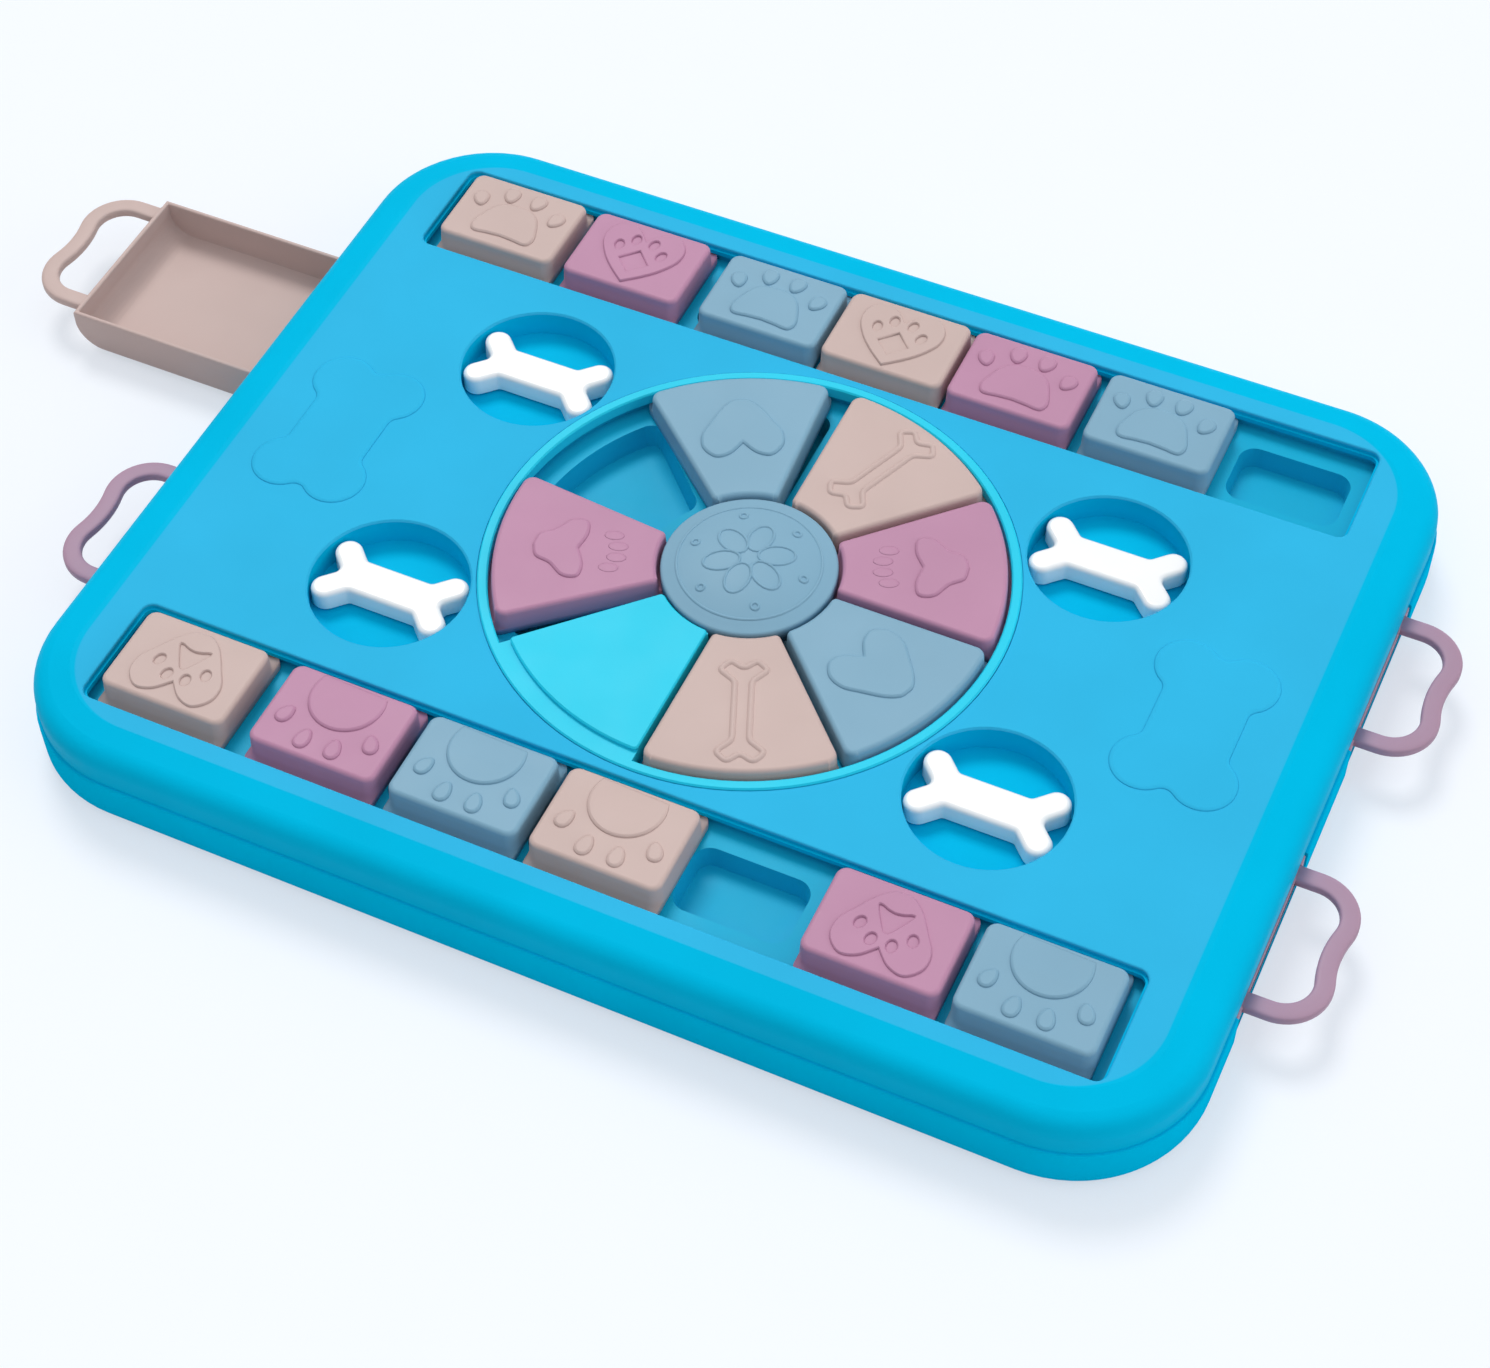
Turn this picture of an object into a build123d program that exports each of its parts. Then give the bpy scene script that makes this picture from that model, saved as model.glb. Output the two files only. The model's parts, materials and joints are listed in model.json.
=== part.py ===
from build123d import *

import os
from math import asin, atan2, cos, degrees, radians, sin, sqrt, tan

# Treat puzzle tray for a dog. A shallow two-part case holds two straight tracks of
# sliding blocks, a wheel of sliding wedges round a domed hub, four round bowls with
# lift-out bones, and four drawers that pull out of the short sides.
# X runs along the tracks, Y across them and Z up. The origin lies under the middle of
# the case, on the plane that its rubber feet rest on. All sizes are in millimetres.

os.makedirs("parts", exist_ok=True)

# ---------------------------------------------------------------- driving dimensions
# Case
case_length = 404.0        # base shell along X
case_width = 311.0         # base shell along Y
case_corner = 45.0
wall = 2.4
floor_thickness = 1.8
base_round = 4.5           # outer bottom edge
base_lip_round = 0.7       # outer edge at the parting
parting_height = 18.6      # the top shell sits on the base shell here
shell_step = 1.0           # the base stands this far outside the top shell
deck_height = 34.0
deck_thickness = 2.5
rim_run = 13.0             # the rim slopes gently over this width
rim_drop = 2.2
rim_round = 7.0

# Fits
slide_gap = 0.3            # running clearance of everything that slides
screw_gap = 0.15           # round a screw's shank

# Straight tracks
pocket_count = 7
slot_end_margin = 28.05    # from the case's end to the slot's end
track_margin = 41.4        # from the case's side to the middle of the track
slot_width = 40.0
slot_corner = 3.0
slot_step = 0.8            # the slot narrows by this much on each side ...
slot_step_depth = 2.0      # ... this far below the deck
slot_edge_round = 0.7
lip_thickness = 1.3
lip_drop = 1.2             # how far the lip hangs below the deck
flange_thickness = 2.6
flange_reach = 1.3         # how far a block's flange runs under the lip
pocket_web = 10.2          # ledge between neighbouring pockets
pocket_width = 25.0
pocket_depth = 8.0
pocket_corner = 6.0
pocket_draft = 8.0         # degrees
tray_plate = 1.8
tray_wall = 1.2
groove_corner = 1.0
cup_wall = 1.4

# Sliding blocks
block_spacing = 3.7        # a block is this much shorter than the pockets' pitch
block_side_gap = 3.2       # from the block's side to the slot's edge
block_rise = 5.0           # above the deck
block_corner = 3.0
block_bevel = 1.1
block_skin = 2.2           # wall of the hollow underside
back_gaps = (4.05, 4.1, 7.6, 1.4, 1.4, 4.1)      # before each block, from the left end
front_left_gaps = (4.05, 8.6, 4.0, 3.2)          # four blocks left of the open pocket ...
front_right_gaps = (3.75, 3.1)                   # ... and two right of it, from the right end

# Wheel
sector_count = 8
ring_margin = 3.3          # deck between the ring and the slots' steps
ring_band = 3.5            # width of the ring's bead
ring_seat = 1.7            # how far the bead laps over the deck's hole
ring_seat_depth = 0.8
ring_rise = 0.7            # bead above the deck
ring_round = 0.5
ring_land = 3.2            # flat land between the bead and the fixed sector's raised top
wedge_hub_gap = 0.9        # from the hub's edge to a wedge
wedge_edge_gap = 1.0       # from a wedge's rim to the ring
wedge_gap = 1.6            # between neighbouring wedges
wedge_rise = 4.0           # above the deck
wedge_corner = 4.0
wedge_heel = 1.5           # corner radius at the wedge's narrow end
wedge_bevel = 1.1
fixed_sector_rise = 2.3
fixed_sector_angle = 247.5
wheel_pocket_heel = 8.5    # from the hub's edge to a pocket
wheel_pocket_rim = 6.5     # from a pocket to the ring
wheel_pocket_side = 4.0    # from a pocket's side to its sector's edge
wheel_pocket_depth = 9.0
wheel_pocket_corner = 5.0
wedge_angles = (22.5, 67.5, 117.0, 197.5, 292.5, 337.5)

# Hub
hub_radius = 29.5
hub_edge_rise = 2.6        # rim of the dome above the deck
hub_crown = 4.6            # dome above its rim
hub_bevel = 0.6
hub_overhang = 2.6         # dome past its post
hub_post_skin = 2.0
hub_boss_radius = 5.0
hub_screw_reach = 4.0

# Bowls and bones
bowl_radius = 27.0
bowl_ring_margin = 1.96    # deck between a bowl and the ring
bowl_slot_margin = 13.5    # deck between a bowl and the slot beside it
bowl_depth = 10.0
bowl_wall = 1.3
bowl_base = 1.8
bowl_bevel = 0.6
bone_end_margin = 2.0      # from a bone's end to the bowl's wall, along X
bone_knob_y = 6.3
bone_knob_radius = 7.0
bone_shaft_width = 11.6
bone_thickness = 8.0
bone_waist_round = 2.0
bone_round = 2.2

# Drawers
drawer_inner_side = 22.5   # from the case's middle line
drawer_track_margin = 26.6 # from a drawer's outer side to the middle of the track
drawer_back_margin = 7.4   # from a drawer's back to the ring, seen from above
drawer_height = 15.2
drawer_wall = 1.6
drawer_front_round = 10.0
drawer_back_round = 3.0
drawer_inset = 0.6         # front face behind the base shell's side
drawer_opening_gap = 0.6   # round a drawer in its doorway
drawer_pulled = 80.0       # the open drawer stands this far out
guide_height = 12.0
guide_thickness = 1.8
handle_reach = 26.0
handle_side_margin = 4.0   # handle narrower than its drawer on each side
handle_lobe_radius = 15.0
handle_notch_round = 10.0
handle_band = 8.0
handle_land = 2.5          # between the drawer's front and the handle's hole
handle_hole_round = 3.0
handle_thickness = 3.0
drawer_rim_bevel = 0.4

# Fasteners and feet
corner_screw_inset = (21.0, 21.5)   # from the case's end and side
middle_screw_margin = 22.0 # from the ring, seen from above
side_screw_inset = 9.5     # from the case's side
case_boss_radius = 3.4
case_post_radius = 4.5
case_post_top = 10.0
case_screw_reach = 9.0     # into the top shell's boss
screw_shank = 1.45
screw_head = 2.8
screw_head_height = 1.7
screw_recess = 3.0         # the case screws' heads sit this deep in the base
tab_radius = 4.0
tab_boss_radius = 3.0
track_tab_insets = (112.0, 52.0)    # outer and inner tabs, from the case's end
boss_root = 0.3            # bosses run this far into the deck
tab_screw_reach = 3.4
wheel_tab_margin = 4.0     # past the ring's edge
wheel_tab_angles = (62.0, 118.0, 242.0, 298.0)
sector_screw_inset = (7.0, 6.0)     # from the wheel pockets' heel and rim
sector_screw_reach = 5.0
foot_inset = (52.0, 35.5)  # from the case's end and side
foot_radius = 8.0
foot_recess = 0.9
foot_drop = 1.0            # feet stand this far below the base shell
foot_bevel = 0.4
foot_pad_margin = 1.6

# ---------------------------------------------------------------- worked-out heights
shell_length = case_length - 2 * shell_step
shell_width = case_width - 2 * shell_step
shell_corner = case_corner - shell_step
floor_top = foot_drop + floor_thickness
deck_underside = deck_height - deck_thickness
lip_bottom = deck_underside - lip_drop
ledge_height = lip_bottom - flange_thickness - 2 * slide_gap
plate_bottom = ledge_height - tray_plate
flange_bottom = ledge_height + slide_gap
track_wall_top = lip_bottom + slide_gap

# ---------------------------------------------------------------- worked-out widths
slot_length = case_length - 2 * slot_end_margin
pocket_pitch = slot_length / pocket_count
pocket_length = pocket_pitch - pocket_web
track_centre = case_width / 2 - track_margin
block_length = pocket_pitch - block_spacing
block_width = slot_width - 2 * block_side_gap
flange_width = slot_width + 2 * flange_reach
groove_length = slot_length + 2 * lip_thickness + 2 * slide_gap
groove_width = slot_width + 2 * lip_thickness + 2 * slide_gap
tray_length = groove_length + 2 * tray_wall
tray_width = groove_width + 2 * tray_wall
ring_radius = track_centre - slot_width / 2 - slot_step - ring_margin
hole_radius = ring_radius - ring_seat
neck_radius = hole_radius - slide_gap
channel_radius = ring_radius - ring_band
hub_post_radius = hub_radius - hub_overhang
wheel_pocket_inner = hub_radius + wheel_pocket_heel
wheel_pocket_outer = channel_radius - wheel_pocket_rim
wedge_inner = hub_radius + wedge_hub_gap
wedge_outer = channel_radius - wedge_edge_gap
wedge_flange_outer = neck_radius
wedge_flange_inner = hub_post_radius + slide_gap
wheel_tray_radius = hole_radius + tray_wall
sector_angle = 360.0 / sector_count
screw_hole = screw_shank + screw_gap
drawer_bottom = floor_top + slide_gap
drawer_top = drawer_bottom + drawer_height
drawer_front = case_length / 2 - drawer_inset
drawer_back = ring_radius + drawer_back_margin
drawer_length = drawer_front - drawer_back
drawer_width = track_centre - drawer_track_margin - drawer_inner_side
drawer_centre = drawer_inner_side + drawer_width / 2
handle_half_width = drawer_width / 2 - handle_side_margin
doorway_width = drawer_width + 2 * drawer_opening_gap
bay_half_width = drawer_width / 2 + drawer_opening_gap + guide_thickness / 2
bay_back = drawer_back - slide_gap - guide_thickness
bowl_floor = deck_height - bowl_depth
bone_bottom = bowl_floor + slide_gap

quarters = ((1, 1), (-1, 1), (1, -1), (-1, -1))
bowl_centre_y = track_centre - slot_width / 2 - bowl_slot_margin - bowl_radius
bowl_centre_x = sqrt((ring_radius + bowl_ring_margin + bowl_radius) ** 2 - bowl_centre_y ** 2)
bowl_points = [(x * bowl_centre_x, y * bowl_centre_y) for x, y in quarters]
bone_knob_x = bowl_radius - bone_knob_radius - bone_end_margin
foot_x = case_length / 2 - foot_inset[0]
foot_y = case_width / 2 - foot_inset[1]
foot_points = [(x * foot_x, y * foot_y) for x, y in quarters] + [(0.0, 0.0)]
corner_screw_x = case_length / 2 - corner_screw_inset[0]
corner_screw_y = case_width / 2 - corner_screw_inset[1]
middle_screw_x = ring_radius + middle_screw_margin
side_screw_y = case_width / 2 - side_screw_inset
case_screw_points = [(x * corner_screw_x, y * corner_screw_y) for x, y in quarters]
case_screw_points += [(x, 0.0) for x in (middle_screw_x, -middle_screw_x)]
case_screw_points += [(0.0, y) for y in (side_screw_y, -side_screw_y)]
tab_offset = tray_width / 2 + tab_radius
track_tab_outer_x, track_tab_inner_x = (case_length / 2 - inset for inset in track_tab_insets)
track_tab_points = [(x * track_tab_outer_x, y * (track_centre + tab_offset)) for x, y in quarters]
track_tab_points += [(x * track_tab_inner_x, y * (track_centre - tab_offset)) for x, y in quarters]
wheel_tab_radius = ring_radius + wheel_tab_margin
sector_screw_radii = (wheel_pocket_inner + sector_screw_inset[0], wheel_pocket_outer - sector_screw_inset[1])
pocket_xs = [(i - (pocket_count - 1) / 2) * pocket_pitch for i in range(pocket_count)]
pocket_angles = [fixed_sector_angle + i * sector_angle for i in range(1, sector_count)]
boss_top = deck_underside + boss_root
lobe_x = handle_reach - handle_lobe_radius
lobe_y = handle_half_width - handle_lobe_radius


def keep(builder, name):
    """Label a finished piece and write it to its own file."""
    builder.part.label = name
    export_step(builder.part, f"parts/{name}.step")


def row_centres(left_gaps, right_gaps=()):
    """Middles of a row's blocks, pushed up from both ends with these gaps, from left to right."""
    centres = []
    edge = -slot_length / 2
    for gap in left_gaps:
        centres.append(edge + gap + block_length / 2)
        edge += gap + block_length
    edge = slot_length / 2
    for gap in right_gaps:
        centres.append(edge - gap - block_length / 2)
        edge -= gap + block_length
    return sorted(centres)


def polar(radius, angle):
    """Point at a radius and an angle in degrees."""
    return (radius * cos(radians(angle)), radius * sin(radians(angle)))


def sector_face(inner, outer, side, heel_round=0.0, corner_round=0.0):
    """Ring sector about +X whose straight sides keep a set distance from the sector's edges."""
    outer_angle = sector_angle / 2 - degrees(asin(side / outer))
    inner_angle = sector_angle / 2 - degrees(asin(side / inner))
    with BuildSketch() as sector:
        with BuildLine():
            ThreePointArc(polar(outer, -outer_angle), polar(outer, 0), polar(outer, outer_angle))
            Line(polar(outer, outer_angle), polar(inner, inner_angle))
            ThreePointArc(polar(inner, inner_angle), polar(inner, 0), polar(inner, -inner_angle))
            Line(polar(inner, -inner_angle), polar(outer, -outer_angle))
        make_face()
        if corner_round > 0:
            fillet(sector.vertices().sort_by(SortBy.DISTANCE)[-2:], radius=corner_round)
        if heel_round > 0:
            fillet(sector.vertices().sort_by(SortBy.DISTANCE)[:2], radius=heel_round)
    return sector.sketch


def two_lobed_face(back_x, shrink=0.0):
    """Outline of a drawer's handle, or the same drawn smaller: two lobes with a soft notch between."""
    reach = handle_lobe_radius + handle_notch_round
    lean = degrees(asin(lobe_y / reach))
    notch_x = lobe_x + reach * cos(radians(lean))
    half_width = handle_half_width - shrink
    with BuildSketch() as outline:
        with BuildLine():
            CenterArc((lobe_x, -lobe_y), handle_lobe_radius - shrink, -90, 90 + lean)
            CenterArc((notch_x, 0), handle_notch_round + shrink, 180 + lean, -2 * lean)
            CenterArc((lobe_x, lobe_y), handle_lobe_radius - shrink, -lean, 90 + lean)
            Polyline((lobe_x, half_width), (back_x, half_width), (back_x, -half_width),
                     (lobe_x, -half_width))
        make_face()
    return outline.sketch


def crowned_block(inset, bottom, top, edge_round):
    """Block inside the top shell's outline, with its gently sloping rim and rounded edge."""
    with BuildPart() as block:
        with BuildSketch(Plane.XY.offset(bottom)):
            RectangleRounded(shell_length - 2 * inset, shell_width - 2 * inset, shell_corner - inset)
        extrude(amount=top - bottom)
        crown = block.faces().sort_by(Axis.Z)[-1]
        chamfer(crown.edges(), length=rim_run, length2=rim_drop, reference=crown)
        rim_edges = block.edges().filter_by_position(Axis.Z, top - rim_drop - 0.01, top - rim_drop + 0.01)
        fillet(rim_edges, radius=edge_round)
    return block.part


wheel_tab_points = [polar(wheel_tab_radius, angle) for angle in wheel_tab_angles]
sector_screw_points = [polar(radius, fixed_sector_angle) for radius in sector_screw_radii]

# ---------------------------------------------------------------- base shell
with BuildPart() as base_shell:
    with BuildSketch(Plane.XY.offset(foot_drop)):
        RectangleRounded(case_length, case_width, case_corner)
    extrude(amount=parting_height - foot_drop)
    fillet(base_shell.edges().group_by(Axis.Z)[0], radius=base_round)
    fillet(base_shell.edges().group_by(Axis.Z)[-1], radius=base_lip_round)
    with BuildSketch(Plane.XY.offset(floor_top)):
        RectangleRounded(case_length - 2 * wall, case_width - 2 * wall, case_corner - wall)
    extrude(amount=parting_height - floor_top, mode=Mode.SUBTRACT)
    # Low walls that guide each drawer and stop it at the back
    guide_length = case_length / 2 - wall - bay_back
    with BuildSketch(Plane.XY.offset(floor_top)):
        for side_x, side_y in quarters:
            for offset_y in (-bay_half_width, bay_half_width):
                with Locations((side_x * (bay_back + guide_length / 2), side_y * drawer_centre + offset_y)):
                    Rectangle(guide_length, guide_thickness)
            with Locations((side_x * (bay_back + guide_thickness / 2), side_y * drawer_centre)):
                Rectangle(guide_thickness, 2 * bay_half_width)
    extrude(amount=guide_height)
    # Posts under the top shell's bosses, and thicker pads over the feet
    with BuildSketch(Plane.XY.offset(floor_top)):
        with Locations(*case_screw_points):
            Circle(case_post_radius)
    extrude(amount=case_post_top - floor_top)
    with BuildSketch(Plane.XY.offset(floor_top)):
        with Locations(*foot_points):
            Circle(foot_radius + foot_pad_margin)
    extrude(amount=foot_recess)
    # Doorways
    with BuildSketch(Plane.XY.offset(floor_top)):
        for side_x, side_y in quarters:
            with Locations((side_x * case_length / 2, side_y * drawer_centre)):
                Rectangle(3 * wall, doorway_width)
    extrude(amount=parting_height - floor_top, mode=Mode.SUBTRACT)
    # Screw holes with sunk heads, and foot recesses
    with BuildSketch(Plane.XY.offset(foot_drop)):
        with Locations(*case_screw_points):
            Circle(screw_hole)
    extrude(amount=case_post_top - foot_drop, mode=Mode.SUBTRACT)
    with BuildSketch(Plane.XY.offset(foot_drop)):
        with Locations(*case_screw_points):
            Circle(screw_head + slide_gap)
    extrude(amount=screw_recess, mode=Mode.SUBTRACT)
    with BuildSketch(Plane.XY.offset(foot_drop)):
        with Locations(*foot_points):
            Circle(foot_radius)
    extrude(amount=foot_recess, mode=Mode.SUBTRACT)
keep(base_shell, "base_shell")

# ---------------------------------------------------------------- top shell
shell_body = crowned_block(0, parting_height, deck_height, rim_round)
shell_cavity = crowned_block(wall, parting_height, deck_underside, rim_round - wall)

with BuildPart() as top_shell:
    add(shell_body)
    add(shell_cavity, mode=Mode.SUBTRACT)
    # Lips that hang round each slot, bowls, and bosses for the screws
    with BuildSketch(Plane.XY.offset(lip_bottom)):
        with Locations((0, track_centre), (0, -track_centre)):
            RectangleRounded(slot_length + 2 * lip_thickness, slot_width + 2 * lip_thickness,
                             slot_corner + lip_thickness)
    extrude(amount=lip_drop + deck_thickness / 2)
    with BuildSketch(Plane.XY.offset(bowl_floor - bowl_base)):
        with Locations(*bowl_points):
            Circle(bowl_radius + bowl_wall)
    extrude(amount=bowl_base + bowl_depth - deck_thickness / 2)
    with BuildSketch(Plane.XY.offset(case_post_top)):
        with Locations(*case_screw_points):
            Circle(case_boss_radius)
    extrude(amount=boss_top - case_post_top)
    with BuildSketch(Plane.XY.offset(ledge_height)):
        with Locations(*track_tab_points, *wheel_tab_points):
            Circle(tab_boss_radius)
    extrude(amount=boss_top - ledge_height)
    # Slots, narrower below their step, and the wheel's hole with a seat for the ring
    with BuildSketch(Plane.XY.offset(lip_bottom)):
        with Locations((0, track_centre), (0, -track_centre)):
            RectangleRounded(slot_length, slot_width, slot_corner)
        Circle(hole_radius)
    extrude(amount=deck_height - lip_bottom, mode=Mode.SUBTRACT)
    with BuildSketch(Plane.XY.offset(deck_height)):
        with Locations((0, track_centre), (0, -track_centre)):
            RectangleRounded(slot_length + 2 * slot_step, slot_width + 2 * slot_step,
                             slot_corner + slot_step)
    extrude(amount=-slot_step_depth, mode=Mode.SUBTRACT)
    with BuildSketch(Plane.XY.offset(deck_height)):
        Circle(ring_radius + slide_gap)
    extrude(amount=-ring_seat_depth, mode=Mode.SUBTRACT)
    with BuildSketch(Plane.XY.offset(deck_height)):
        with Locations(*bowl_points):
            Circle(bowl_radius)
    extrude(amount=-bowl_depth, mode=Mode.SUBTRACT)
    # Pilot holes
    with BuildSketch(Plane.XY.offset(case_post_top)):
        with Locations(*case_screw_points):
            Circle(screw_hole)
    extrude(amount=case_screw_reach + slide_gap, mode=Mode.SUBTRACT)
    with BuildSketch(Plane.XY.offset(ledge_height)):
        with Locations(*track_tab_points, *wheel_tab_points):
            Circle(screw_hole)
    extrude(amount=tab_screw_reach + slide_gap, mode=Mode.SUBTRACT)
    # Softened edges round the slots and the bowls
    deck_edges = top_shell.faces().filter_by(Axis.Z).sort_by(Axis.Z)[-1].inner_wires()
    slot_wires = [w for w in deck_edges if abs(w.bounding_box().size.X - slot_length - 2 * slot_step) < 0.1]
    bowl_wires = [w for w in deck_edges if abs(w.bounding_box().size.X - 2 * bowl_radius) < 0.1]
    fillet([e for w in slot_wires for e in w.edges()], radius=slot_edge_round)
    chamfer([e for w in bowl_wires for e in w.edges()], length=bowl_bevel)
keep(top_shell, "top_shell")

# ---------------------------------------------------------------- track trays
for row_name, row_side in (("back", 1), ("front", -1)):
    row_y = row_side * track_centre
    row_tabs = [p for p in track_tab_points if p[1] * row_side > 0]
    with BuildPart() as track_tray:
        with BuildSketch(Plane((0, row_y, plate_bottom))):
            RectangleRounded(tray_length, tray_width, groove_corner + tray_wall)
        extrude(amount=track_wall_top - plate_bottom)
        with BuildSketch(Plane((0, row_y, ledge_height))):
            RectangleRounded(groove_length, groove_width, groove_corner)
        extrude(amount=track_wall_top - ledge_height, mode=Mode.SUBTRACT)
        # Screw tabs, level with the plate
        with BuildSketch(Plane.XY.offset(plate_bottom)):
            for tab_x, tab_y in row_tabs:
                with Locations((tab_x, tab_y)):
                    Circle(tab_radius)
                with Locations((tab_x, (tab_y + row_y) / 2)):
                    Rectangle(2 * tab_radius, tab_offset)
        extrude(amount=tray_plate)
        # Cups that taper to their floors, then the pockets inside them
        with BuildSketch(Plane((0, row_y, ledge_height))):
            with Locations(*[(x, 0) for x in pocket_xs]):
                RectangleRounded(pocket_length + 2 * cup_wall, pocket_width + 2 * cup_wall,
                                 pocket_corner + cup_wall)
        extrude(amount=-pocket_depth - cup_wall, taper=pocket_draft)
        with BuildSketch(Plane((0, row_y, ledge_height))):
            with Locations(*[(x, 0) for x in pocket_xs]):
                RectangleRounded(pocket_length, pocket_width, pocket_corner)
        extrude(amount=-pocket_depth, taper=pocket_draft, mode=Mode.SUBTRACT)
        with BuildSketch(Plane.XY.offset(plate_bottom)):
            with Locations(*row_tabs):
                Circle(screw_hole)
        extrude(amount=tray_plate, mode=Mode.SUBTRACT)
    keep(track_tray, f"{row_name}_track_tray")

# ---------------------------------------------------------------- sliding blocks
block_rows = (
    ("back", track_centre, row_centres(back_gaps)),
    ("front", -track_centre, row_centres(front_left_gaps, front_right_gaps)),
)
block_top = deck_height + block_rise
cell_length = (block_length - 3 * block_skin) / 2

for row_name, row_y, centres in block_rows:
    for number, centre_x in enumerate(centres, start=1):
        with BuildPart() as block:
            with BuildSketch(Plane((centre_x, row_y, flange_bottom))):
                Rectangle(block_length, flange_width)
            extrude(amount=flange_thickness)
            with BuildSketch(Plane((centre_x, row_y, flange_bottom))):
                RectangleRounded(block_length, block_width, block_corner)
            extrude(amount=block_top - flange_bottom)
            chamfer(block.faces().sort_by(Axis.Z)[-1].edges(), length=block_bevel)
            # Two hollow cells under the block, with a web between them
            with BuildSketch(Plane((centre_x, row_y, flange_bottom))):
                with GridLocations(cell_length + block_skin, 0, 2, 1):
                    Rectangle(cell_length, block_width - 2 * block_skin)
            extrude(amount=block_top - block_skin - flange_bottom, mode=Mode.SUBTRACT)
        keep(block, f"{row_name}_block_{number}")

# ---------------------------------------------------------------- wheel tray
with BuildPart() as wheel_tray:
    with BuildSketch(Plane.XY.offset(plate_bottom)):
        Circle(wheel_tray_radius)
    extrude(amount=deck_underside - plate_bottom)
    with BuildSketch(Plane.XY.offset(ledge_height)):
        Circle(hole_radius)
        Circle(hub_post_radius, mode=Mode.SUBTRACT)
    extrude(amount=deck_underside - ledge_height, mode=Mode.SUBTRACT)
    with BuildSketch(Plane.XY.offset(lip_bottom)):
        Circle(hub_post_radius)
    extrude(amount=lip_drop, mode=Mode.SUBTRACT)
    # Screw tabs
    with BuildSketch(Plane.XY.offset(plate_bottom)):
        with Locations(*wheel_tab_points):
            Circle(tab_radius)
        for tab_x, tab_y in wheel_tab_points:
            with Locations(Location((tab_x / 2, tab_y / 2, 0), (0, 0, degrees(atan2(tab_y, tab_x))))):
                Rectangle(wheel_tab_radius, 2 * tab_radius)
    extrude(amount=tray_plate)
    # One cup for each sector that a wedge can cover
    for pocket_angle in pocket_angles:
        with BuildSketch(Plane.XY.rotated((0, 0, pocket_angle)).offset(ledge_height)):
            add(sector_face(wheel_pocket_inner - cup_wall, wheel_pocket_outer + cup_wall,
                            wheel_pocket_side - cup_wall, wheel_pocket_corner + cup_wall,
                            wheel_pocket_corner + cup_wall))
        extrude(amount=-wheel_pocket_depth - cup_wall, taper=pocket_draft)
    for pocket_angle in pocket_angles:
        with BuildSketch(Plane.XY.rotated((0, 0, pocket_angle)).offset(ledge_height)):
            add(sector_face(wheel_pocket_inner, wheel_pocket_outer, wheel_pocket_side,
                            wheel_pocket_corner, wheel_pocket_corner))
        extrude(amount=-wheel_pocket_depth, taper=pocket_draft, mode=Mode.SUBTRACT)
    # The hub's post is hollow underneath, and screws go through the plate
    with BuildSketch(Plane.XY.offset(plate_bottom)):
        Circle(hub_post_radius - hub_post_skin)
        Circle(hub_boss_radius, mode=Mode.SUBTRACT)
    extrude(amount=lip_bottom - hub_post_skin - plate_bottom, mode=Mode.SUBTRACT)
    with BuildSketch(Plane.XY.offset(plate_bottom)):
        Circle(screw_hole)
        with Locations(*wheel_tab_points, *sector_screw_points):
            Circle(screw_hole)
    extrude(amount=deck_underside - plate_bottom, mode=Mode.SUBTRACT)
keep(wheel_tray, "wheel_tray")

# ---------------------------------------------------------------- wheel ring with its fixed sector
sector_plane = Plane.XY.rotated((0, 0, fixed_sector_angle))
ring_top = deck_height + ring_rise
sector_top = deck_height + fixed_sector_rise

with BuildPart() as raised_sector:
    with BuildSketch(sector_plane.offset(ring_top)):
        add(sector_face(wedge_inner, channel_radius - ring_land, wedge_gap / 2, wedge_heel, wedge_heel))
    extrude(amount=sector_top - ring_top)
    chamfer(raised_sector.faces().sort_by(Axis.Z)[-1].edges(), length=ring_round)

with BuildPart() as wheel_ring:
    with BuildSketch(Plane.XY.offset(lip_bottom)):
        Circle(neck_radius)
        Circle(channel_radius, mode=Mode.SUBTRACT)
    extrude(amount=deck_height - lip_bottom)
    with BuildSketch(Plane.XY.offset(deck_height - ring_seat_depth)):
        Circle(ring_radius)
        Circle(channel_radius, mode=Mode.SUBTRACT)
    extrude(amount=ring_seat_depth + ring_rise)
    chamfer(wheel_ring.faces().sort_by(Axis.Z)[-1].edges(), length=ring_round)
    # The fixed sector fills its part of the channel down to the tray
    with BuildSketch(sector_plane.offset(ledge_height)):
        add(sector_face(wedge_inner, neck_radius, wedge_gap / 2))
    extrude(amount=ring_top - ledge_height)
    add(raised_sector.part)
    with BuildSketch(Plane.XY.offset(ledge_height)):
        with Locations(*sector_screw_points):
            Circle(screw_hole)
    extrude(amount=sector_screw_reach + slide_gap, mode=Mode.SUBTRACT)
keep(wheel_ring, "wheel_ring")

# ---------------------------------------------------------------- sliding wedges
wedge_top = deck_height + wedge_rise
cell_inner = wedge_inner + block_skin
cell_outer = (wedge_outer - block_skin) * cos(radians(sector_angle / 2))
cell_edge = wedge_gap / 2 + block_skin
cell_slope = tan(radians(sector_angle / 2))
cell_drop = cell_edge / cos(radians(sector_angle / 2))

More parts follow.
